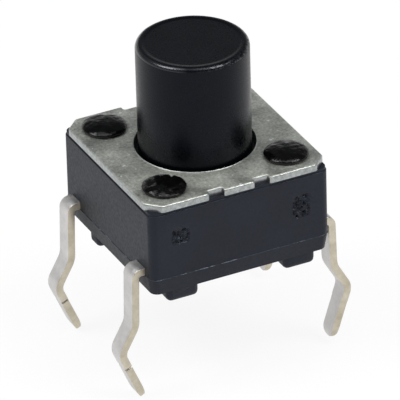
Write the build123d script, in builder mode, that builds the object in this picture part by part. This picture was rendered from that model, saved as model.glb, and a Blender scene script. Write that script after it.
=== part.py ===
from build123d import *
import math
import os

# Tactile push button switch, through-hole type, in millimetres.
# The origin is the centre of the four leads on the board's surface: z = 0 is where the feet stand,
# +Z is up through the button, and the leads leave the body along +X and -X.

# Overall sizes
body_w = 6.1  # square body, across its flats
cover_top_z = 3.5  # board to the top of the cover
total_h = 7.0  # board to the top of the button
lead_pitch_y = 4.5  # between the two leads on one side

# Housing
body_corner_r = 0.26
parting_z = 0.95  # mould parting plane, which is also the underside of the lead strips
base_z = 0.42  # underside of the base, held off the board by the feet
base_inset = 0.07  # how far the sides draw in from the parting plane to the underside
top_edge_r = 0.08
pocket_ledge = 0.35  # the pocket that centres the dome is this much narrower than the cavity, on the radius
pocket_h = 0.55
post_inset = 0.98  # from the body's sides to the middle of a post
post_d = 0.9
head_d = 1.4  # staked head of a post
head_h = 0.28
head_edge_h = 0.1  # the head is widest this far above the cover
head_undercut = 0.06

# Feet: (from, to) along the side that they stand on, and how far in they reach
end_foot_inset = 0.18  # from the body's side to the outer face of the feet, on the Y sides
side_foot_inset = 0.12  # the same on the X sides
foot_depth = 0.7
foot_round = 0.14
end_feet_x = ((-2.45, -1.5), (1.5, 2.45))
side_feet_y = ((0.98, 1.6), (-1.45, -0.75))  # on the -X side; the +X side has them turned half round

# Cover plate
cover_t = 0.22
cover_corner = 0.44
cover_edge_r = 0.06
cover_hole_clear = 0.12  # between the button and the edge of its hole, on the radius
post_hole_clear = 0.05  # between a post and its hole in the cover, on the radius
notch_w = 0.5
notch_depth = 0.2
notch_centre_x = 0.77

# Button
button_d = 3.5
button_edge_r = 0.12
flange_w = 0.4  # how far the flange stands out of the button's side, to be caught under the cover
flange_t = 0.6
flange_clear = 0.1  # between the flange and the cavity wall, on the radius
boss_d = 1.2
boss_edge_r = 0.15
boss_clear = 0.02  # between the boss and the crown of the dome at rest

# Snap dome
dome_t = 0.08
dome_rise = 0.35
dome_clear = 0.1  # between the dome's rim and the pocket wall, on the radius
dome_seat_w = 0.26  # width of the ring that the dome stands on

# Leads: each terminal is one strip across the body that ends in two kinked legs
lead_w = 0.6
lead_t = 0.25
lead_out = 0.42  # from the body's side to the outer face of a leg just under the shoulder
shoulder_r = 0.38
bend_out = 0.47  # the same where the leg starts to splay
bend_r = 0.6
knee_out = 0.98  # the same at the corner of the knee before it is rounded
knee_drop = 0.9  # from the bend to the knee
knee_r = 0.58
tip_drop = 1.8  # from the knee to the tip
tip_w = 0.5  # the legs step in to this width below the knee
step_drop = 0.55  # from the knee to that step
bend_z = {-1: -0.75, 1: -0.55}  # the legs on the -X side run further down before they splay
tip_out = {-1: 0.23, 1: 0.38}  # from the body's side to the outer face of a tip; the -X legs come further in

# Contacts in the floor of the cavity
pad_d = 1.2
arm_w = 0.8
arm_t = 0.13  # the centre arm is coined thin, so the floor covers it where it passes under the rim
rim_arm_w = 0.65  # the arms under the dome's rim
rim_arm_past = 0.15  # how far their outer edge lies outside the rim
rim_arm_reach = -1.2  # how far along Y the rim arms go past the centre

# Derived sizes
floor_z = parting_z + lead_t
housing_top_z = cover_top_z - cover_t
pocket_top_z = floor_z + pocket_h
lead_y = lead_pitch_y / 2
crown_z = floor_z + dome_rise
half_w = body_w / 2
flange_r = button_d / 2 + flange_w
cavity_r = flange_r + flange_clear
pocket_r = cavity_r - pocket_ledge
dome_r = pocket_r - dome_clear
rim_arm_x = dome_r + rim_arm_past - rim_arm_w / 2
base_draft = math.degrees(math.atan(base_inset / (parting_z - base_z)))
post_grid = GridLocations(body_w - 2 * post_inset, body_w - 2 * post_inset, 2, 2)
post_centres = [tuple(place.position)[:2] for place in post_grid]

os.makedirs("parts", exist_ok=True)


def leg_outline(side):
    """Outer face of one leg from its tip up to its bend, in the X-Z plane."""
    knee_z = bend_z[side] - knee_drop
    tip = (side * (half_w + tip_out[side]), knee_z - tip_drop)
    knee = (side * (half_w + knee_out), knee_z)
    bend = (side * (half_w + bend_out), bend_z[side])
    return [tip, knee, bend]


def lead_strip(y):
    """One strip across the body with a kinked leg at each end, centred on y."""
    with BuildPart() as strip:
        with BuildSketch(Plane.XZ.offset(-y)):
            with BuildLine():
                FilletPolyline(
                    *leg_outline(-1),
                    (-half_w - lead_out, floor_z),
                    (half_w + lead_out, floor_z),
                    *reversed(leg_outline(1)),
                    radius=[knee_r, bend_r, shoulder_r, shoulder_r, bend_r, knee_r],
                )
                offset(amount=lead_t, side=Side.RIGHT)
            make_face()
        extrude(amount=lead_w / 2, both=True)
        for side in (-1, 1):
            step_z = bend_z[side] - knee_drop - step_drop
            round_z = bend_z[side] - knee_drop - tip_drop + tip_w / 2
            with BuildSketch(Plane.YZ):
                with Locations((y, step_z)):
                    Rectangle(2 * lead_w, 2 * tip_drop, align=(Align.CENTER, Align.MAX))
                with Locations((y, step_z)):
                    Rectangle(tip_w, step_z - round_z, align=(Align.CENTER, Align.MAX), mode=Mode.SUBTRACT)
                with Locations((y, round_z)):
                    Circle(tip_w / 2, mode=Mode.SUBTRACT)
            extrude(amount=side * (body_w + knee_out), mode=Mode.SUBTRACT)
    return strip.part


strip_front = lead_strip(-lead_y)
strip_rear = lead_strip(lead_y)

# Terminal with the centre contact: the arm runs under the floor to a round pad below the crown.
with BuildPart() as terminal_centre_contact:
    add(strip_front)
    with BuildSketch(Plane.XY.offset(parting_z)):
        Rectangle(arm_w, lead_y, align=(Align.CENTER, Align.MAX))
    extrude(amount=arm_t)
    with BuildSketch(Plane.XY.offset(parting_z)):
        Circle(pad_d / 2)
    extrude(amount=lead_t)

# Terminal with the rim contact: two arms that the dome's rim stands on.
with BuildPart() as terminal_rim_contact:
    add(strip_rear)
    with BuildSketch(Plane.XY.offset(parting_z)):
        for side in (-1, 1):
            with Locations((side * rim_arm_x, lead_y)):
                Rectangle(rim_arm_w, lead_y - rim_arm_reach, align=(Align.CENTER, Align.MAX))
    extrude(amount=lead_t)

# Housing: square moulding round the strips, with the cavity, four staked posts and the feet.
with BuildPart() as housing:
    with BuildSketch(Plane.XY.offset(parting_z)):
        RectangleRounded(body_w, body_w, body_corner_r)
    extrude(amount=housing_top_z - parting_z)
    fillet(housing.faces().sort_by(Axis.Z)[-1].edges(), top_edge_r)
    with BuildSketch(Plane.XY.offset(parting_z)):
        RectangleRounded(body_w, body_w, body_corner_r)
    extrude(amount=parting_z - base_z, dir=(0, 0, -1), taper=base_draft)
    with BuildSketch():
        for near, far in end_feet_x:
            for turn, align_y in ((-1, Align.MIN), (1, Align.MAX)):
                with Locations(((near + far) / 2, turn * (half_w - end_foot_inset))):
                    Rectangle(far - near, foot_depth, align=(Align.CENTER, align_y))
        for near, far in side_feet_y:
            for turn, align_x in ((1, Align.MIN), (-1, Align.MAX)):
                with Locations((-turn * (half_w - side_foot_inset), turn * (near + far) / 2)):
                    Rectangle(foot_depth, abs(far - near), align=(align_x, Align.CENTER))
    extrude(amount=base_z)
    fillet(housing.edges().group_by(Axis.Z)[0], foot_round)
    with BuildSketch(Plane.XY.offset(floor_z)):
        Circle(pocket_r)
    extrude(amount=pocket_h, mode=Mode.SUBTRACT)
    with BuildSketch(Plane.XY.offset(pocket_top_z)):
        Circle(cavity_r)
    extrude(amount=housing_top_z - pocket_top_z, mode=Mode.SUBTRACT)
    with BuildSketch(Plane.XY.offset(housing_top_z)):
        with Locations(*post_centres):
            Circle(post_d / 2)
    extrude(amount=cover_t)
    for x, y in post_centres:
        with BuildSketch(Plane((x, y, cover_top_z), x_dir=(1, 0, 0), z_dir=(0, -1, 0))):
            with BuildLine():
                Polyline((0, head_h), (0, 0), (head_d / 2 - head_undercut, 0), (head_d / 2, head_edge_h))
                TangentArc((0, head_h), (head_d / 2, head_edge_h), tangent=(1, 0))
            make_face()
        revolve(axis=Axis((x, y, 0), (0, 0, 1)))
    add(terminal_centre_contact.part, mode=Mode.SUBTRACT)
    add(terminal_rim_contact.part, mode=Mode.SUBTRACT)

# Cover plate: flat stamping held down by the post heads.
with BuildPart() as cover_plate:
    with BuildSketch(Plane.XY.offset(housing_top_z)) as cover_outline:
        Rectangle(body_w, body_w)
        chamfer(cover_outline.vertices(), cover_corner)
        for x in (-notch_centre_x, notch_centre_x):
            for y, align_y in ((-half_w, Align.MIN), (half_w, Align.MAX)):
                with Locations((x, y)):
                    Rectangle(notch_w, notch_depth, align=(Align.CENTER, align_y), mode=Mode.SUBTRACT)
    extrude(amount=cover_t)
    fillet(cover_plate.faces().sort_by(Axis.Z)[-1].edges(), cover_edge_r)
    with BuildSketch(Plane.XY.offset(housing_top_z)):
        Circle(button_d / 2 + cover_hole_clear)
        with Locations(*post_centres):
            Circle(post_d / 2 + post_hole_clear)
    extrude(amount=cover_t, mode=Mode.SUBTRACT)

# Button: the flange is caught under the cover, and the boss below it pushes the dome.
with BuildPart() as plunger:
    with BuildSketch(Plane.XY.offset(housing_top_z)):
        Circle(button_d / 2)
    extrude(amount=total_h - housing_top_z)
    fillet(plunger.faces().sort_by(Axis.Z)[-1].edges(), button_edge_r)
    with BuildSketch(Plane.XY.offset(housing_top_z - flange_t)):
        Circle(flange_r)
    extrude(amount=flange_t)
    with BuildSketch(Plane.XY.offset(crown_z + boss_clear)):
        Circle(boss_d / 2)
    extrude(amount=housing_top_z - flange_t - crown_z - boss_clear)
    fillet(plunger.faces().sort_by(Axis.Z)[0].edges(), boss_edge_r)

# Snap dome: shallow sprung disc that stands on the rim contact.
with BuildPart() as snap_dome:
    with BuildSketch(Plane.XZ):
        with BuildLine():
            TangentArc((0, crown_z), (dome_r, floor_z), tangent=(1, 0))
            Line((dome_r, floor_z), (dome_r - dome_seat_w, floor_z))
            TangentArc((0, crown_z - dome_t), (dome_r - dome_seat_w, floor_z), tangent=(1, 0))
            Line((0, crown_z - dome_t), (0, crown_z))
        make_face()
    revolve(axis=Axis.Z)

pieces = {
    "housing": housing,
    "cover_plate": cover_plate,
    "plunger": plunger,
    "snap_dome": snap_dome,
    "terminal_centre_contact": terminal_centre_contact,
    "terminal_rim_contact": terminal_rim_contact,
}
for name, piece in pieces.items():
    piece.part.label = name
    export_step(piece.part, f"parts/{name}.step")
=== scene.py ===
import math

import bmesh
import bpy
from mathutils import Matrix, Vector, noise


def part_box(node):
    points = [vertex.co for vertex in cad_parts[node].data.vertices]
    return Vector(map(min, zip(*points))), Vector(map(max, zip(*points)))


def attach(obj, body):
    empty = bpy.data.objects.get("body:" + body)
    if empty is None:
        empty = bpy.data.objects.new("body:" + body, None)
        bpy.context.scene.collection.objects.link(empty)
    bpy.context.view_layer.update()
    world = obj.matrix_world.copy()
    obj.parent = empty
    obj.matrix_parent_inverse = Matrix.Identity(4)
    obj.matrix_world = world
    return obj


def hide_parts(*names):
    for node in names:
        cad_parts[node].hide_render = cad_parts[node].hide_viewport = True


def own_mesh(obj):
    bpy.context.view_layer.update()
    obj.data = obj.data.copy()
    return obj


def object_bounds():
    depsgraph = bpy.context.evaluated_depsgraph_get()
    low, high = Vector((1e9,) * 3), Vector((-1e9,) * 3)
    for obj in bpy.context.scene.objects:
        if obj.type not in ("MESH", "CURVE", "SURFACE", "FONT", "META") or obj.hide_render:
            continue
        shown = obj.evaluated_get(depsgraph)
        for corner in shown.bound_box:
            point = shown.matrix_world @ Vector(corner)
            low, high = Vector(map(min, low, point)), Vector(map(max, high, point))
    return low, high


# Tactile push button switch. Shapes are worked out in millimetres and turned to metres as each piece is made.
# +Z is up through the button, z = 0 is the circuit board's surface and the legs leave along +X and -X.

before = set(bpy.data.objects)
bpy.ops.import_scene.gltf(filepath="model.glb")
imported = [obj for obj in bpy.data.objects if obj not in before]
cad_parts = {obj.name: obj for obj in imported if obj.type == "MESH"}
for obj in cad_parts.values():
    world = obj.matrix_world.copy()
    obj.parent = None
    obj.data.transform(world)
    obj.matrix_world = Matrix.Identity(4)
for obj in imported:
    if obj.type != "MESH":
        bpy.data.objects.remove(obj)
cad_low, cad_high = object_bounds()

MM = 0.001
EPS = 1e-3


def box_mm(node):
    low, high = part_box(node)
    return low / MM, high / MM


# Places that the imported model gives
_, housing_high = box_mm("housing")
cover_low, cover_high = box_mm("cover_plate")
button_low, button_high = box_mm("plunger")
dome_low, dome_high = box_mm("snap_dome")
_, rim_high = box_mm("terminal_rim_contact")

LEAD_W = 0.6
LEAD_T = 0.25
half_w = cover_high.x  # half the width of the body
cover_bottom_z = cover_low.z
cover_top_z = cover_high.z
head_top_z = housing_high.z
floor_z = dome_low.z  # the floor that the dome stands on, level with the top of the strips
lead_y = rim_high.y - LEAD_W / 2
parting_z = floor_z - LEAD_T

# Housing
FLASH = 0.012  # the parting line stands this far out of the walls
BODY_CORNER_R = 0.26
TOP_EDGE_R = 0.035
SHADOW_GAP = 0.1  # the wall stops this far under the cover
BASE_Z = 0.42
BASE_INSET = 0.07
CAVITY_R = 2.25
POCKET_R = 1.9
POCKET_TOP_Z = 1.75
SLOT_DEPTH = 0.16  # the recess in the wall round each strip
SLOT_SPARE = 0.15
FOOT_DEPTH = 0.7
FOOT_ROUND = 0.18
END_FOOT_INSET = 0.09
SIDE_FOOT_INSET = 0.12
END_FEET_X = ((-2.48, -1.41), (1.49, 2.56))
SIDE_FEET_Y = ((0.98, 1.6), (-1.45, -0.75))  # on the -X side; the +X side has them turned half round
wall = half_w - FLASH  # from the middle to a flat wall

# Rough patches on the front wall: x, z, width, height and the seed of their lumps
MOULDING_MARKS = ((-2.03, 2.3, 0.62, 0.52, 3.0), (2.06, 2.19, 0.6, 0.82, 11.0))
FLAT_ANGLE = math.radians(0.2)  # two faces of a wall that meet at less are one
MARK_CUTS = 18
MARK_DEPTH = 0.07

# Posts and their staked heads
POST_INSET = 0.98
POST_R = 0.45
HEAD_R = 0.71
HEAD_EDGE_H = 0.1
HEAD_UNDERCUT = 0.06
HEAD_STEPS = 16
FOLD_OFF = 0.12  # the fold in a dented head runs this far beside its middle
FOLD_W = 0.05
FOLD_START = -0.15  # share of the head's radius, from its middle
post_at = half_w - POST_INSET  # from the middle to a post, along X and along Y

# Cover
COVER_CUT = 0.44
COVER_EDGE_R = 0.06
COVER_HOLE_R = 1.87
COVER_INSET = 0.005  # the plate stops this far inside the body's full width
BURR_W = 0.04  # the punch leaves a low raised lip round the hole
BURR_H = 0.02
POST_HOLE_R = 0.5
NOTCH_W = 0.5
NOTCH_DEPTH = 0.2
NOTCH_X = 0.77
NOTCH_CORNER_R = 0.065  # stays larger than COVER_EDGE_R, or the rounded rim folds over itself

# Button
BUTTON_R = 1.75
BUTTON_EDGE_R = 0.16
DISH_R = 1.52  # inside this radius the top is sunk a little
DISH_DEPTH = 0.012
DISH_SLOPE = 0.03
DISH_EASE = 0.1  # a ring this far inside the dish keeps the shading of its slope off the flat
FLANGE_T = 0.6
FLANGE_EDGE_R = 0.04
BOSS_R = 0.6
BOSS_EDGE_R = 0.15

# Dome
DOME_T = 0.08
DOME_SEAT_W = 0.26

# Legs, where -1 is the pair on the -X side and 1 the pair on the +X side
LEAD_OUT = 0.42
SHOULDER_R = 0.32
BEND_OUT = 0.47
BEND_R = 0.6
KNEE_OUT = 0.979
KNEE_DROP = 0.9
KNEE_R = 0.58
TIP_DROP = 1.8
TIP_W = {-1: 0.5, 1: 0.57}
TIP_END_W = 0.03
TIP_STEPS = 8
TIP_ROUND = 0.45  # the tips thin out over this length
TIP_THIN = 0.12  # the thinnest share of the strip that is left at a tip
STEP_DROP = 0.55
STEP_RUN = 0.01
CREASE_W = {-1: 0.1, 1: 0.0}  # a coined line across the leg at the step
BEND_Z = {-1: -0.75, 1: -0.55}
TIP_OUT = {-1: 0.23, 1: 0.38}
LEAD_EDGE_R = 0.02
BEND_STEP = 6  # degrees from one section of a bend to the next

# Camera, in degrees and millimetres
CAMERA_TURN = (-25.786, 30.438, -1.6)  # azimuth, elevation and roll
CAMERA_AIM = (0.1535, -1.7853)  # to the right and up in the view, from the middle of the switch
CAMERA_BACK = 207.565
CAMERA_LENS = 611.64
MIDDLE_Z = 3.5


# ---------------------------------------------------------------- mesh helpers


def faces_of(geom):
    return [g for g in geom if isinstance(g, bmesh.types.BMFace)]


def edges_of(geom):
    return [g for g in geom if isinstance(g, bmesh.types.BMEdge)]


def verts_of(geom):
    return [g for g in geom if isinstance(g, bmesh.types.BMVert)]


def corners(faces):
    return list(dict.fromkeys(v for f in faces for v in f.verts))


def outlines(faces):
    return list(dict.fromkeys(e for f in faces for e in f.edges))


def edges_at(verts):
    return list(dict.fromkeys(e for v in verts for e in v.link_edges))


def soften(bm, geom, offset, segments, affect="EDGES"):
    bmesh.ops.bevel(
        bm,
        geom=geom,
        offset=offset,
        offset_type="OFFSET",
        affect=affect,
        segments=segments,
        profile=0.5,
        material=-1,
    )


def raise_faces(bm, faces, height):
    """Extrudes flat faces straight up or down and returns them; the faces that it starts from stay inside."""
    moved = faces_of(bmesh.ops.extrude_face_region(bm, geom=faces)["geom"])
    bmesh.ops.translate(bm, verts=corners(moved), vec=(0, 0, height))
    return moved


def round_rim(bm, faces, radius, steps):
    """Rounds every edge round a flat group of faces, which end up one radius higher."""
    for i in range(steps):
        a, b = (math.pi / 2 * k / steps for k in (i, i + 1))
        bmesh.ops.inset_region(
            bm,
            faces=faces,
            thickness=radius * (math.cos(a) - math.cos(b)),
            use_boundary=True,
            use_even_offset=True,
        )
        bmesh.ops.translate(bm, verts=corners(faces), vec=(0, 0, radius * (math.sin(b) - math.sin(a))))


def cut_faces(bm, faces, place, normal):
    """Divides flat faces along the plane that lies at that place along the normal."""
    geom = faces + outlines(faces) + corners(faces)
    bmesh.ops.bisect_plane(bm, geom=geom, plane_co=Vector(normal) * place, plane_no=normal)


def flat_sheet(bm, reach, z):
    """A square face that reaches that far from the Z axis."""
    bmesh.ops.create_grid(bm, x_segments=1, y_segments=1, size=reach, matrix=Matrix.Translation((0, 0, z)))


def circle(bm, x, y, radius, segments):
    """A loop of edges on the plane of the cover's underside."""
    place = Matrix.Translation((x, y, cover_bottom_z))
    made = bmesh.ops.create_circle(bm, segments=segments, radius=radius, cap_ends=False, matrix=place)
    return edges_at(made["verts"])


def close_holes(bm):
    bmesh.ops.holes_fill(bm, edges=[e for e in bm.edges if e.is_boundary], sides=0)


def ring(bm, radius, z):
    """The edges of the circle round the Z axis at that radius and height."""

    def on_ring(v):
        return abs(math.hypot(v.co.x, v.co.y) - radius) < EPS and abs(v.co.z - z) < EPS

    return [e for e in bm.edges if all(on_ring(v) for v in e.verts)]


def turned(profile, steps=96):
    """A closed round body from the half section (radius, z) that starts and ends on the Z axis."""
    bm = bmesh.new()
    points = [bm.verts.new((r, 0, z)) for r, z in profile]
    chain = [bm.edges.new(pair) for pair in zip(points, points[1:])]
    bmesh.ops.spin(
        bm,
        geom=points + chain,
        cent=(0, 0, 0),
        axis=(0, 0, 1),
        angle=math.tau,
        steps=steps,
        use_merge=True,
        use_duplicate=False,
    )
    bmesh.ops.remove_doubles(bm, verts=bm.verts[:], dist=EPS / 10)
    return bm


def make_piece(name, bm, body, material, stands_for=(), sharp=38):
    """Turns a bmesh in millimetres into a finished piece that rides on its body."""
    bmesh.ops.remove_doubles(bm, verts=bm.verts[:], dist=EPS / 10)
    bmesh.ops.recalc_face_normals(bm, faces=bm.faces[:])
    bmesh.ops.scale(bm, vec=(MM, MM, MM), verts=bm.verts[:])
    mesh = bpy.data.meshes.new(name)
    bm.to_mesh(mesh)
    bm.free()
    mesh.shade_smooth()
    mesh.set_sharp_from_angle(angle=math.radians(sharp))
    mesh.materials.append(material)
    piece = bpy.data.objects.new(name, mesh)
    bpy.context.scene.collection.objects.link(piece)
    even = piece.modifiers.new("flat faces stay flat", "WEIGHTED_NORMAL")
    even.keep_sharp = True
    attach(piece, body)
    if stands_for:
        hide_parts(*stands_for)
    return piece


# ------------------------------------------------------------ material helpers


def srgb(code):
    """An sRGB hex colour as the linear colour that a shader takes."""
    parts = [int(code[i : i + 2], 16) / 255 for i in (1, 3, 5)]
    return (*[c / 12.92 if c <= 0.04045 else ((c + 0.055) / 1.055) ** 2.4 for c in parts], 1.0)


def add_node(tree, kind, settings=None, values=None, links=None):
    """Adds a node with its settings, the values of its free sockets and what feeds its other sockets."""
    node = tree.nodes.new(kind)
    for key, value in (settings or {}).items():
        setattr(node, key, value)
    for key, value in (values or {}).items():
        node.inputs[key].default_value = value
    for key, source in (links or {}).items():
        tree.links.new(source, node.inputs[key])
    return node


def start_material(name):
    """A new material, its node tree, its shader and Object coordinates in millimetres."""
    material = bpy.data.materials.new(name)
    material.use_nodes = True
    tree = material.node_tree
    place = add_node(tree, "ShaderNodeTexCoord").outputs["Object"]
    values = {"Scale": 1 / MM}
    in_mm = add_node(tree, "ShaderNodeVectorMath", {"operation": "SCALE"}, values, {"Vector": place})
    return material, tree, tree.nodes["Principled BSDF"], in_mm.outputs["Vector"]


def arithmetic(tree, operation, values=None, links=None):
    return add_node(tree, "ShaderNodeMath", {"operation": operation}, values, links).outputs[0]


def axes_of(tree, vector):
    """The X, Y and Z of a vector."""
    return add_node(tree, "ShaderNodeSeparateXYZ", None, None, {"Vector": vector}).outputs


def facing(tree):
    """The X, Y and Z of the way that the surface faces."""
    return axes_of(tree, add_node(tree, "ShaderNodeTexCoord").outputs["Normal"])


def noise_of(tree, place, grain, detail=2.0, rough=0.5):
    """Noise whose lumps are about grain millimetres across."""
    return add_node(
        tree,
        "ShaderNodeTexNoise",
        {"noise_dimensions": "3D"},
        {"Scale": 1 / grain, "Detail": detail, "Roughness": rough},
        {"Vector": place},
    ).outputs["Fac"]


def spread(tree, source, low, high, out_low=0.0, out_high=1.0):
    """Stretches the part of a pattern between low and high over another range, clamped."""
    return add_node(
        tree,
        "ShaderNodeMapRange",
        {"clamp": True},
        {"From Min": low, "From Max": high, "To Min": out_low, "To Max": out_high},
        {"Value": source},
    ).outputs["Result"]


def blend_colours(tree, share, first, second, kind="MIX"):
    """Blends two colours. Each is a hex code or comes from a node, and share is a number or from a node."""
    node = add_node(tree, "ShaderNodeMix", {"data_type": "RGBA", "blend_type": kind})
    for socket, value in ((0, share), (6, first), (7, second)):
        if isinstance(value, str):
            node.inputs[socket].default_value = srgb(value)
        elif isinstance(value, float):
            node.inputs[socket].default_value = value
        else:
            tree.links.new(value, node.inputs[socket])
    return node.outputs[2]


def raise_grain(tree, shader, pattern, strength, depth):
    """Turns a pattern into fine relief, depth millimetres deep."""
    values = {"Strength": strength, "Distance": depth * MM}
    bump = add_node(tree, "ShaderNodeBump", None, values, {"Height": pattern})
    tree.links.new(bump.outputs["Normal"], shader.inputs["Normal"])


# -------------------------------------------------------------------- materials


def moulded_pbt():
    """Glass-filled PBT, injection moulded: a dark grey that is nearly black, satin and a little uneven."""
    material, tree, shader, place = start_material("moulded black PBT")
    cloud = noise_of(tree, place, 1.6, 3)
    grain = noise_of(tree, place, 0.09, 3)
    body = blend_colours(tree, spread(tree, cloud, 0.35, 0.65), "#0b0d12", "#11141b")
    # painted highlight: the flash along the parting line is painted paler in broken stretches, standing in for its
    # glints
    height = axes_of(tree, place)["Z"]
    at_line = arithmetic(tree, "COMPARE", {1: parting_z, 2: FLASH * 1.2}, {0: height})
    glint_breaks = spread(tree, noise_of(tree, place, 0.35, 4, 0.7), 0.5, 0.62)
    painted_glint = arithmetic(tree, "MULTIPLY", None, {0: at_line, 1: glint_breaks})
    tree.links.new(blend_colours(tree, painted_glint, body, "#5f646d"), shader.inputs["Base Color"])
    tree.links.new(spread(tree, grain, 0.3, 0.7, 0.42, 0.56), shader.inputs["Roughness"])
    raise_grain(tree, shader, grain, 0.5, 0.004)
    shader.inputs["IOR"].default_value = 1.5
    shader.inputs["Specular IOR Level"].default_value = 0.38
    shader.inputs["Specular Tint"].default_value = srgb("#dfe8ff")
    return material


def staked_pbt():
    """The same PBT where a hot punch has melted it: glossy and blacker."""
    material, tree, shader, place = start_material("heat-staked black PBT")
    lump = noise_of(tree, place, 0.16, 3)
    tree.links.new(spread(tree, lump, 0.35, 0.65, 0.1, 0.22), shader.inputs["Roughness"])
    tree.links.new(blend_colours(tree, lump, "#030303", "#070707"), shader.inputs["Base Color"])
    raise_grain(tree, shader, lump, 0.9, 0.03)
    shader.inputs["IOR"].default_value = 1.5
    shader.inputs["Specular IOR Level"].default_value = 0.2
    return material


def moulded_pom():
    """POM, injection moulded in a fine-eroded tool: black, with a dull sheen at grazing angles."""
    material, tree, shader, place = start_material("moulded black POM")
    grain = noise_of(tree, place, 0.07, 2)
    cloud = spread(tree, noise_of(tree, place, 1.1, 3), 0.35, 0.65)
    tree.links.new(blend_colours(tree, cloud, "#030406", "#07080b"), shader.inputs["Base Color"])
    tree.links.new(spread(tree, grain, 0.3, 0.7, 0.25, 0.36), shader.inputs["Roughness"])
    raise_grain(tree, shader, grain, 0.4, 0.003)
    # handling has burnished the rounded rim: all of it towards -X, and in specks over the rest
    rim = arithmetic(tree, "COMPARE", {1: 0.6, 2: 0.36}, {0: facing(tree)["Z"]})
    across = axes_of(tree, place)["X"]
    smooth_end = spread(tree, across, -1.1, -0.9, 1.0, 0.0)
    specked_end = spread(tree, across, -0.8, -0.1)
    specks = spread(tree, noise_of(tree, place, 0.07, 3, 0.7), 0.47, 0.54)
    whole = arithmetic(tree, "MULTIPLY_ADD", None, {0: specked_end, 1: specks, 2: smooth_end})
    share = arithmetic(tree, "MULTIPLY", None, {0: rim, 1: whole})
    tree.links.new(share, shader.inputs["Coat Weight"])
    shader.inputs["Coat Roughness"].default_value = 0.27
    shader.inputs["Coat IOR"].default_value = 1.5
    shader.inputs["IOR"].default_value = 1.48
    shader.inputs["Specular IOR Level"].default_value = 0.19
    shader.inputs["Specular Tint"].default_value = srgb("#dfe8ff")
    return material


def tinned_sheet():
    """Tin-plated steel sheet, stamped: mottled grey on its rolled face and brighter where it was sheared."""
    material, tree, shader, place = start_material("tin-plated steel sheet")
    mottle = noise_of(tree, place, 0.9, 4, 0.6)
    grain = noise_of(tree, place, 0.08, 2)
    flat = spread(tree, facing(tree)["Z"], 0.5, 0.9)
    rolled = blend_colours(tree, spread(tree, mottle, 0.3, 0.7), "#a8aba3", "#d0d3ca")
    speck = spread(tree, noise_of(tree, place, 0.1, 4, 0.75), 0.36, 0.64, 0.2, 0.8)
    grainy = blend_colours(tree, 0.5, rolled, speck, "OVERLAY")
    nicks = spread(tree, noise_of(tree, place, 0.22, 2, 0.4), 0.69, 0.73)
    scratched = blend_colours(tree, nicks, grainy, "#eceeed")
    sheared = blend_colours(tree, speck, "#7f8383", "#c2c5c4")
    tree.links.new(blend_colours(tree, flat, sheared, scratched), shader.inputs["Base Color"])
    dull = spread(tree, mottle, 0.3, 0.7, 0.5, 0.62)
    rough = add_node(tree, "ShaderNodeMix", {"data_type": "FLOAT"}, {2: 0.34}, {0: flat, 3: dull})
    tree.links.new(rough.outputs[0], shader.inputs["Roughness"])
    raise_grain(tree, shader, grain, 0.4, 0.003)
    shader.inputs["Metallic"].default_value = 1.0
    return material


def tinned_brass():
    """Brass strip with dull electroplated tin: nearly white faces, cloudy, with warmer sheared edges."""
    material, tree, shader, place = start_material("matte tin-plated brass")
    cloud = noise_of(tree, place, 0.45, 5, 0.65)
    grain = noise_of(tree, place, 0.06, 2)
    side = arithmetic(tree, "ABSOLUTE", None, {0: facing(tree)["Y"]})
    faces = blend_colours(tree, spread(tree, cloud, 0.3, 0.7), "#c3c2c0", "#dedcda")
    sheared = blend_colours(tree, spread(tree, cloud, 0.3, 0.7), "#b6ae9a", "#dcd4c3")
    colour = blend_colours(tree, spread(tree, side, 0.5, 0.85), faces, sheared)
    tree.links.new(colour, shader.inputs["Base Color"])
    tree.links.new(spread(tree, cloud, 0.3, 0.7, 0.42, 0.55), shader.inputs["Roughness"])
    raise_grain(tree, shader, grain, 0.4, 0.003)
    shader.inputs["Metallic"].default_value = 1.0
    return material


def sprung_steel():
    """Stainless spring steel, cold rolled: bright with fine marks along the rolling direction."""
    material, tree, shader, place = start_material("rolled stainless spring steel")
    drawn_out = {1: (0.1, 1.0, 1.0)}
    along = add_node(tree, "ShaderNodeVectorMath", {"operation": "MULTIPLY"}, drawn_out, {0: place})
    marks = noise_of(tree, along.outputs["Vector"], 0.05, 2)
    tree.links.new(blend_colours(tree, marks, "#b9b8b4", "#d6d5d1"), shader.inputs["Base Color"])
    tree.links.new(spread(tree, marks, 0.3, 0.7, 0.18, 0.3), shader.inputs["Roughness"])
    shader.inputs["Metallic"].default_value = 1.0
    return material


# ---------------------------------------------------------------------- housing


def foot_boxes():
    """The (x, y) corners of each foot."""
    end_y = half_w - END_FOOT_INSET
    side_x = half_w - SIDE_FOOT_INSET
    for near, far in END_FEET_X:
        yield near, far, -end_y, -end_y + FOOT_DEPTH
        yield near, far, end_y - FOOT_DEPTH, end_y
    for near, far in SIDE_FEET_Y:
        yield -side_x, -side_x + FOOT_DEPTH, near, far
        yield side_x - FOOT_DEPTH, side_x, -far, -near


def cut_underside(bm, places, normal):
    """Divides the flat underside of the base along straight lines."""
    for place in places:
        under = [f for f in bm.faces if all(abs(v.co.z - BASE_Z) < EPS for v in f.verts)]
        cut_faces(bm, under, place, normal)


def add_feet(bm):
    boxes = list(foot_boxes())
    cut_underside(bm, sorted({x for b in boxes for x in b[:2]}), (1, 0, 0))
    cut_underside(bm, sorted({y for b in boxes for y in b[2:]}), (0, 1, 0))
    for x0, x1, y0, y1 in boxes:
        patch = []
        for f in bm.faces:
            middle = f.calc_center_median()
            if abs(middle.z - BASE_Z) < EPS and x0 < middle.x < x1 and y0 < middle.y < y1:
                patch.append(f)
        whole = bmesh.ops.dissolve_faces(bm, faces=patch, use_verts=True)["region"]
        sole = raise_faces(bm, whole, -BASE_Z)
        rim = outlines(sole)
        uprights = [e for e in edges_at(corners(sole)) if e not in rim and e.calc_face_angle(0) > 1]
        soften(bm, rim + uprights, FOOT_ROUND, 4)


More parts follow.
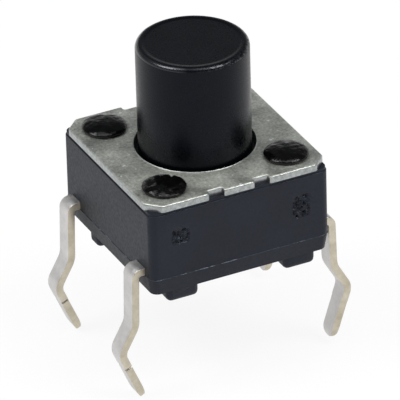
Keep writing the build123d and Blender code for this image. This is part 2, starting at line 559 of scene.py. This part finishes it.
def add_cavity(bm, top):
    """Opens the top face into the round cavity and the narrower pocket that holds the dome."""
    outer = outlines(top)
    bmesh.ops.delete(bm, geom=top, context="FACES_ONLY")
    loop = circle(bm, 0, 0, CAVITY_R, 96)
    bmesh.ops.triangle_fill(bm, use_beauty=True, edges=outer + loop)
    cavity_wall = (POCKET_TOP_Z - cover_bottom_z, CAVITY_R)
    ledge = (0, POCKET_R)
    pocket_wall = (floor_z - POCKET_TOP_Z, POCKET_R)
    for drop, radius in (cavity_wall, ledge, pocket_wall):
        made = bmesh.ops.extrude_edge_only(bm, edges=loop)["geom"]
        points = verts_of(made)
        share = radius / math.hypot(points[0].co.x, points[0].co.y)
        bmesh.ops.scale(bm, vec=(share, share, 1), verts=points)
        bmesh.ops.translate(bm, verts=points, vec=(0, 0, drop))
        loop = [e for e in edges_of(made) if all(v in points for v in e.verts)]
    close_holes(bm)


def wall_window(bm, normal, middle, width, low_z, high_z):
    """Cuts an upright rectangle into the flat wall that faces normal, and returns its faces."""
    normal = Vector(normal)
    along = Vector((abs(normal.y), abs(normal.x), 0))
    up = Vector((0, 0, 1))

    def on_wall(point):
        return abs(point.dot(normal) - wall) < EPS

    for place, cut in ((middle - width / 2, along), (middle + width / 2, along), (low_z, up), (high_z, up)):
        cut_faces(bm, [f for f in bm.faces if all(on_wall(v.co) for v in f.verts)], place, cut)
    window = []
    for f in bm.faces:
        point = f.calc_center_median()
        if on_wall(point) and abs(point.dot(along) - middle) < width / 2 and low_z < point.z < high_z:
            window.append(f)
    return window


def moulding_mark(bm, x, z, width, height, seed):
    """Roughens a patch of the front wall, as a gate or an ejector leaves it."""
    patch = wall_window(bm, (0, -1, 0), x, width, z - height / 2, z + height / 2)
    cut = bmesh.ops.subdivide_edges(bm, edges=outlines(patch), cuts=MARK_CUTS, use_grid_fill=True)["geom"]
    for v in dict.fromkeys(verts_of(cut)):
        across = 1 - ((v.co.x - x) / (width / 2)) ** 2
        along = 1 - ((v.co.z - z) / (height / 2)) ** 2
        if abs(v.co.y + wall) < EPS and across > 0.01 and along > 0.01:
            coarse = noise.noise(Vector((v.co.x * 6, seed, v.co.z * 6)))
            fine = noise.noise(Vector((v.co.x * 15, seed, v.co.z * 15)))
            v.co.y += MARK_DEPTH * min(1, 4 * across * along) * max(0, 0.45 + coarse + 1.1 * fine)


def lead_slot(bm, side, y):
    """The recess behind the wall where a strip comes out; the wall's own faces stay over it."""
    low_z, high_z = parting_z + FLASH, floor_z + SLOT_SPARE / 2
    window = wall_window(bm, (side, 0, 0), y, LEAD_W + 2 * SLOT_SPARE, low_z, high_z)
    moved = faces_of(bmesh.ops.extrude_face_region(bm, geom=window)["geom"])
    bmesh.ops.translate(bm, verts=corners(moved), vec=(-side * SLOT_DEPTH, 0, 0))


def join_flat_walls(bm):
    """Takes the cuts that only divide a flat wall out again."""
    points = [v for v in bm.verts if v.co.z > BASE_Z and min(abs(abs(v.co.x) - wall), abs(abs(v.co.y) - wall)) < EPS]
    kept = set(points)
    edges = [e for e in edges_at(points) if all(v in kept for v in e.verts)]
    bmesh.ops.dissolve_limit(bm, angle_limit=FLAT_ANGLE, verts=points, edges=edges)


def housing_moulding(material):
    bm = bmesh.new()
    line_z = parting_z + FLASH  # the upper side of the flash
    flat_sheet(bm, wall, line_z)
    soften(bm, bm.verts[:], BODY_CORNER_R, 8, affect="VERTICES")
    top = raise_faces(bm, bm.faces[:], cover_bottom_z - SHADOW_GAP - TOP_EDGE_R - line_z)
    close_holes(bm)
    round_rim(bm, top, TOP_EDGE_R, 5)
    top = raise_faces(bm, top, SHADOW_GAP)
    bottom = [f for f in bm.faces if abs(f.calc_center_median().z - line_z) < EPS]
    # the flash is a fine ridge, out to the full width and back, and the base draws in under it
    for drop, reach in ((FLASH, half_w), (FLASH, wall), (line_z - 2 * FLASH - BASE_Z, wall - BASE_INSET)):
        share = reach / max(v.co.x for v in corners(bottom))
        bottom = raise_faces(bm, bottom, -drop)
        bmesh.ops.scale(bm, vec=(share, share, 1), verts=corners(bottom))
    add_feet(bm)
    add_cavity(bm, top)
    for mark in MOULDING_MARKS:
        moulding_mark(bm, *mark)
    for side in (-1, 1):
        for y in (-lead_y, lead_y):
            lead_slot(bm, side, y)
    join_flat_walls(bm)
    return make_piece(
        "housing_moulding", bm, "switch_body", material, ["housing"], sharp=30
    )


def head_profile():
    """Half section of a staked post: the shank in the cover's hole and the mushroomed head on it."""
    rise = head_top_z - cover_top_z - HEAD_EDGE_H
    cap = []
    for i in range(HEAD_STEPS + 1):
        a = math.pi / 2 * i / HEAD_STEPS
        cap.append((HEAD_R * math.cos(a), cover_top_z + HEAD_EDGE_H + rise * math.sin(a)))
    return [
        (0, cover_bottom_z - EPS),
        (POST_R, cover_bottom_z - EPS),
        (POST_R, cover_top_z),
        (HEAD_R - HEAD_UNDERCUT, cover_top_z),
        *cap,
    ]


def stake_head(name, side_x, side_y, material, lump, dent, seed):
    """One heat-staked post end; lump is how uneven the punch left it, and dent how deep its fold is."""
    bm = turned(head_profile(), steps=64)
    for v in bm.verts:
        above = v.co.z - cover_top_z
        if above < HEAD_EDGE_H / 2:
            continue
        r = math.hypot(v.co.x, v.co.y)
        wave = noise.noise(Vector((v.co.x * 2.6 + seed, v.co.y * 2.6, seed)))
        fine = noise.noise(Vector((v.co.x * 6 + seed, v.co.y * 6, seed + 5)))
        v.co.z -= lump * (0.5 + 0.6 * wave + 0.3 * fine) * min(1, above / HEAD_EDGE_H - 0.5)
        if r > HEAD_R / 2:
            edge = 1 - lump * (0.5 + noise.noise(Vector((v.co.x / r * 1.3 + seed, v.co.y / r * 1.3, 0))))
            v.co.x *= edge
            v.co.y *= edge
        # the fold runs in from the rim, with a nick where it starts
        along = (v.co.x * 0.6 + v.co.y * 0.8) / HEAD_R
        off = v.co.x * 0.8 - v.co.y * 0.6 - FOLD_OFF
        if dent and along > FOLD_START:
            v.co.z -= dent * math.exp(-((off / FOLD_W) ** 2)) * min(1, along - FOLD_START)
    bmesh.ops.translate(bm, verts=bm.verts[:], vec=(side_x * post_at, side_y * post_at, 0))
    return make_piece(name, bm, "switch_body", material, sharp=50)


# ------------------------------------------------------------------------ cover


def cut_notches(bm, edge):
    """Takes two notches out of each of the sheet's edges that face -Y and +Y."""
    for side in (-1, 1):
        for end in (-1, 1):
            cut_faces(bm, bm.faces[:], side * NOTCH_X + end * NOTCH_W / 2, (1, 0, 0))
    for side in (-1, 1):
        cut_faces(bm, bm.faces[:], side * (edge - NOTCH_DEPTH), (0, 1, 0))
    notches = []
    for f in bm.faces:
        middle = f.calc_center_median()
        if abs(abs(middle.x) - NOTCH_X) < NOTCH_W / 2 and abs(middle.y) > edge - NOTCH_DEPTH:
            notches.append(f)
    bmesh.ops.delete(bm, geom=notches, context="FACES")
    bmesh.ops.dissolve_limit(bm, angle_limit=math.radians(1), verts=bm.verts[:], edges=bm.edges[:])
    soften(bm, bm.verts[:], NOTCH_CORNER_R, 3, affect="VERTICES")


def raise_burr(bm):
    """Turns the rounding round the button's hole into the low lip that the punch leaves."""
    for v in bm.verts:
        r = math.hypot(v.co.x, v.co.y)
        if r < COVER_HOLE_R + COVER_EDGE_R + EPS and v.co.z > cover_top_z - COVER_EDGE_R - EPS:
            share = math.acos(1 - max(0, r - COVER_HOLE_R) / (COVER_EDGE_R + EPS)) / (math.pi / 2)
            v.co.z = cover_top_z + BURR_H * math.sin(math.pi * share)
            v.co.x *= (COVER_HOLE_R + BURR_W * share) / r
            v.co.y *= (COVER_HOLE_R + BURR_W * share) / r


def cover_sheet(material):
    bm = bmesh.new()
    edge = half_w - COVER_INSET
    flat_sheet(bm, edge, cover_bottom_z)
    soften(bm, bm.verts[:], COVER_CUT, 1, affect="VERTICES")
    cut_notches(bm, edge)
    bmesh.ops.delete(bm, geom=bm.faces[:], context="FACES_ONLY")
    circle(bm, 0, 0, COVER_HOLE_R, 128)
    for x in (-post_at, post_at):
        for y in (-post_at, post_at):
            circle(bm, x, y, POST_HOLE_R, 32)
    bmesh.ops.triangle_fill(bm, use_beauty=True, edges=bm.edges[:])
    top = raise_faces(bm, bm.faces[:], cover_top_z - cover_bottom_z - COVER_EDGE_R)
    lower = [e for e in bm.edges if e.is_boundary]
    if lower:
        bmesh.ops.triangle_fill(bm, use_beauty=True, edges=lower)
    round_rim(bm, top, COVER_EDGE_R, 5)
    raise_burr(bm)
    return make_piece("cover_sheet", bm, "switch_body", material, ["cover_plate"], sharp=30)


# ----------------------------------------------------------------------- button


def push_button(material):
    flange_bottom_z = cover_bottom_z - FLANGE_T
    top_z = button_high.z
    flange_r = button_high.x
    bm = turned(
        [
            (0, button_low.z),
            (BOSS_R, button_low.z),
            (BOSS_R, flange_bottom_z),
            (flange_r, flange_bottom_z),
            (flange_r, cover_bottom_z),
            (BUTTON_R, cover_bottom_z),
            (BUTTON_R, top_z),
            (DISH_R, top_z),
            (DISH_R - DISH_SLOPE, top_z - DISH_DEPTH),
            (DISH_R - DISH_EASE, top_z - DISH_DEPTH),
            (0, top_z - DISH_DEPTH),
        ],
        steps=128,
    )
    soften(bm, ring(bm, BUTTON_R, top_z), BUTTON_EDGE_R, 8)
    soften(bm, ring(bm, BOSS_R, button_low.z), BOSS_EDGE_R, 4)
    soften(bm, ring(bm, flange_r, flange_bottom_z) + ring(bm, flange_r, cover_bottom_z), FLANGE_EDGE_R, 2)
    return make_piece("push_button", bm, "button", material, ["plunger"])


# ------------------------------------------------------------------------- dome


def dome_arc(radius, top_z, foot_z, steps):
    """Points from the crown to the foot of a shallow arc that is level at the crown."""
    rise = top_z - foot_z
    bend = (radius**2 + rise**2) / (2 * rise)
    turns = [math.asin(radius / bend) * i / steps for i in range(steps + 1)]
    return [(bend * math.sin(a), top_z - bend * (1 - math.cos(a))) for a in turns]


def snap_disc(material):
    crown_z = dome_high.z
    outer = dome_arc(dome_high.x, crown_z, floor_z, 24)
    inner = dome_arc(dome_high.x - DOME_SEAT_W, crown_z - DOME_T, floor_z, 20)
    bm = turned(outer + inner[::-1], steps=96)
    disc = make_piece("snap_disc", bm, "switch_body", material, ["snap_dome"])
    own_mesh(disc)
    return disc


# -------------------------------------------------------------------- terminals


def leg_points(side):
    """Outer face of a leg, tip to bend, as (x, z)."""
    knee_z = BEND_Z[side] - KNEE_DROP
    return [
        (side * (half_w + TIP_OUT[side]), knee_z - TIP_DROP),
        (side * (half_w + KNEE_OUT), knee_z),
        (side * (half_w + BEND_OUT), BEND_Z[side]),
    ]


def leg_dir(side):
    """The way up a leg from its tip to its knee."""
    (tip_x, tip_z), (knee_x, knee_z), _ = leg_points(side)
    return Vector((knee_x - tip_x, 0, knee_z - tip_z)).normalized()


def leg_inward(side):
    """The way through the strip at a tip, from its outer face to its inner one."""
    along = leg_dir(side)
    return Vector((-side * along.z, 0, side * along.x))


def strip_route():
    """Corners of the strip's outer face, from the tip of the leg on -X to the tip on +X, with their radii."""
    points = [
        *leg_points(-1),
        (-half_w - LEAD_OUT, floor_z),
        (half_w + LEAD_OUT, floor_z),
        *reversed(leg_points(1)),
    ]
    radii = [0, KNEE_R, BEND_R, SHOULDER_R, SHOULDER_R, BEND_R, KNEE_R, 0]
    return [Vector((x, 0, z)) for x, z in points], radii


def narrow(bm, face, share, y):
    """Scales a section of the strip in its width, about the strip's middle."""
    bmesh.ops.scale(bm, vec=(1, share, 1), verts=list(face.verts), space=Matrix.Translation((0, -y, 0)))


def push_on(bm, face, vec):
    """Carries the strip's end face on by a straight length."""
    moved = faces_of(bmesh.ops.extrude_face_region(bm, geom=[face])["geom"])[0]
    bmesh.ops.translate(bm, verts=list(moved.verts), vec=vec)
    return moved


def turn_on(bm, face, centre, angle, steps):
    """Carries the strip's end face on round a bend."""
    made = bmesh.ops.spin(
        bm,
        geom=[face] + list(face.edges) + list(face.verts),
        cent=centre,
        axis=(0, 1, 0),
        angle=angle,
        steps=steps,
        use_merge=False,
        use_duplicate=False,
    )
    return faces_of(made["geom_last"])[0]


def tip_sections(side):
    """Distances from the tip and widths there, along the narrow end of a leg: full round, then the step."""
    drop = (TIP_DROP - STEP_DROP) / leg_dir(side).z
    width, crease = TIP_W[side], CREASE_W[side]
    r = width / 2
    rows = []
    for i in range(TIP_STEPS + 1):
        a = math.pi / 2 * i / TIP_STEPS
        rows.append((r * (1 - math.cos(a)), max(TIP_END_W, width * math.sin(a))))
    rows += [((r + TIP_ROUND) / 2, width), (TIP_ROUND, width), (drop - crease, width)]
    if crease:
        rows += [(drop - crease / 2, width - crease), (drop, width)]
    rows.append((drop + STEP_RUN, LEAD_W))
    return rows


def follow_sections(bm, face, along, rows, y):
    """Carries the strip's end face on through the sections of a leg's narrow end."""
    for (at, width), (far, wide) in zip(rows, rows[1:]):
        face = push_on(bm, face, along * abs(far - at))
        if wide != width:
            narrow(bm, face, wide / width, y)
    return face


def end_face(bm, tip, y):
    """The strip's first section, square to the leg at the tip on the -X side, with its corners eased."""
    along, inward = leg_dir(-1), leg_inward(-1)
    middle = tip + inward * LEAD_T / 2
    place = Matrix((inward, (0, 1, 0), along)).transposed().to_4x4()
    place.translation = (middle.x, y, middle.z)
    section = bmesh.ops.create_grid(bm, x_segments=1, y_segments=1, size=0.5)["verts"]
    bmesh.ops.scale(bm, vec=(LEAD_T, LEAD_W, 1), verts=section)
    soften(bm, section, LEAD_EDGE_R, 3, affect="VERTICES")
    face = bm.faces[:][-1]
    bmesh.ops.transform(bm, matrix=place, verts=list(face.verts))
    return face


def round_tips(bm):
    """Thins the last of each leg to a rounded end."""
    for side in (-1, 1):
        x, z = leg_points(side)[0]
        tip = Vector((x, 0, z))
        along, inward = leg_dir(side), leg_inward(side)
        for v in bm.verts:
            depth = (v.co - tip).dot(along)
            if v.co.x * side > 0 and -EPS < depth < TIP_ROUND:
                off = (v.co - tip).dot(inward) - LEAD_T / 2
                share = max(TIP_THIN, math.sqrt(max(0, 1 - (1 - depth / TIP_ROUND) ** 2)))
                v.co += inward * off * (share - 1)


def lead_strip(bm, y):
    """One strip across the body with a kinked leg at each end."""
    points, radii = strip_route()
    rows = tip_sections(-1)
    face = end_face(bm, points[0], y)
    narrow(bm, face, rows[0][1] / LEAD_W, y)
    face = follow_sections(bm, face, leg_dir(-1), rows, y)
    here = points[0] + leg_dir(-1) * rows[-1][0]
    for i in range(1, len(points) - 1):
        before = (points[i] - points[i - 1]).normalized()
        after = (points[i + 1] - points[i]).normalized()
        angle = before.angle(after)
        turn = math.copysign(1, before.cross(after).y)
        reach = radii[i] * math.tan(angle / 2)
        arc_start = points[i] - before * reach
        face = push_on(bm, face, arc_start - here)
        centre = arc_start + Vector((before.z, 0, -before.x)) * turn * radii[i]
        steps = max(4, round(math.degrees(angle) / BEND_STEP))
        face = turn_on(bm, face, centre, turn * angle, steps)
        here = points[i] + after * reach
    rows = tip_sections(1)[::-1]
    length = (points[-1] - here).length
    face = push_on(bm, face, -leg_dir(1) * (length - rows[0][0]))
    follow_sections(bm, face, -leg_dir(1), rows, y)
    round_tips(bm)


def terminal(name, y, node, material):
    bm = bmesh.new()
    lead_strip(bm, y)
    return make_piece(name, bm, "switch_body", material, [node], sharp=40)


# ------------------------------------------------------------------------ pieces

housing_moulding(moulded_pbt())
staked = staked_pbt()
stake_head("stake_head_front_left", -1, -1, staked, lump=0.07, dent=0.09, seed=4.0)
stake_head("stake_head_front_right", 1, -1, staked, lump=0.03, dent=0.0, seed=9.0)
stake_head("stake_head_rear_left", -1, 1, staked, lump=0.025, dent=0.0, seed=15.0)
stake_head("stake_head_rear_right", 1, 1, staked, lump=0.03, dent=0.0, seed=21.0)
cover_sheet(tinned_sheet())
push_button(moulded_pom())
snap_disc(sprung_steel())
tin = tinned_brass()
terminal("terminal_strip_front", -lead_y, "terminal_centre_contact", tin)
terminal("terminal_strip_rear", lead_y, "terminal_rim_contact", tin)


# ------------------------------------------------------------------------- stage


def floor_material():
    """Matte white card. Seen directly or mirrored it is nearly full white, and it keeps the shadow."""
    material = bpy.data.materials.new("white card")
    material.use_nodes = True
    tree = material.node_tree
    tree.nodes.remove(tree.nodes["Principled BSDF"])
    card = add_node(tree, "ShaderNodeBsdfDiffuse", None, {"Color": srgb("#f2f2f2")})
    white = add_node(tree, "ShaderNodeEmission", None, {"Color": (1, 1, 1, 1), "Strength": 1.0})
    path = add_node(tree, "ShaderNodeLightPath").outputs
    mirrored = arithmetic(tree, "MAXIMUM", None, {0: path["Is Glossy Ray"], 1: path["Is Transmission Ray"]})
    seen = arithmetic(tree, "MAXIMUM", None, {0: path["Is Camera Ray"], 1: mirrored})
    share = arithmetic(tree, "MULTIPLY", {1: 0.9}, {0: seen})
    sources = {0: share, 1: card.outputs[0], 2: white.outputs[0]}
    mixed = add_node(tree, "ShaderNodeMixShader", None, None, sources)
    tree.links.new(mixed.outputs[0], tree.nodes["Material Output"].inputs["Surface"])
    return material


def studio_floor():
    bm = bmesh.new()
    flat_sheet(bm, 3.0, cad_low.z)
    mesh = bpy.data.meshes.new("studio_floor")
    bm.to_mesh(mesh)
    bm.free()
    mesh.materials.append(floor_material())
    card = bpy.data.objects.new("studio_floor", mesh)
    bpy.context.scene.collection.objects.link(card)


def direction(azimuth, elevation):
    """The way out from the middle; azimuth 0 is in front of the -Y side and a quarter turn is off +X."""
    flat = math.cos(elevation)
    return Vector((math.sin(azimuth) * flat, -math.cos(azimuth) * flat, math.sin(elevation)))


def studio_light(name, azimuth, elevation, distance, size, watts):
    """A round soft box that points at the switch."""
    place = direction(math.radians(azimuth), math.radians(elevation)) * distance
    lamp = bpy.data.lights.new(name, "AREA")
    lamp.shape = "DISK"
    lamp.size = size
    lamp.energy = watts
    holder = bpy.data.objects.new(name, lamp)
    holder.location = place
    holder.rotation_euler = (-place).to_track_quat("-Z", "Y").to_euler()
    bpy.context.scene.collection.objects.link(holder)


def studio_world():
    """Pale at the horizon, like a sweep, and dim overhead."""
    world = bpy.data.worlds.new("studio")
    bpy.context.scene.world = world
    world.use_nodes = True
    tree = world.node_tree
    height = axes_of(tree, add_node(tree, "ShaderNodeTexCoord").outputs["Generated"])["Z"]
    colour = blend_colours(tree, spread(tree, height, 0.05, 0.42), "#ffffff", "#6a6c70")
    tree.links.new(colour, tree.nodes["Background"].inputs["Color"])
    tree.nodes["Background"].inputs["Strength"].default_value = 1.0


def camera():
    """Looks down 30 degrees on the front left corner, from 0.2 m with a long lens."""
    azimuth, elevation, roll = (math.radians(a) for a in CAMERA_TURN)
    back = direction(azimuth, elevation)
    right = Vector((math.cos(azimuth), math.sin(azimuth), 0))
    up = back.cross(right)
    level = math.cos(roll) * right + math.sin(roll) * up
    upright = -math.sin(roll) * right + math.cos(roll) * up
    aim = level * CAMERA_AIM[0] + upright * CAMERA_AIM[1] + Vector((0, 0, MIDDLE_Z))
    lens = bpy.data.cameras.new("camera")
    lens.sensor_width = 36
    lens.lens = CAMERA_LENS
    lens.clip_start = 0.01
    lens.clip_end = 50
    holder = bpy.data.objects.new("camera", lens)
    turn = Matrix((level, upright, back)).transposed().to_4x4()
    holder.matrix_world = Matrix.Translation((aim + back * CAMERA_BACK) * MM) @ turn
    bpy.context.scene.collection.objects.link(holder)
    bpy.context.scene.camera = holder


studio_floor()
studio_world()
studio_light("soft box left", azimuth=-100, elevation=56, distance=0.3, size=0.13, watts=0.42)
studio_light("soft box right", azimuth=42, elevation=56, distance=0.3, size=0.13, watts=0.4)
studio_light("soft box top", azimuth=-20, elevation=80, distance=0.32, size=0.22, watts=0.33)
camera()
bpy.context.scene.view_settings.view_transform = "Standard"
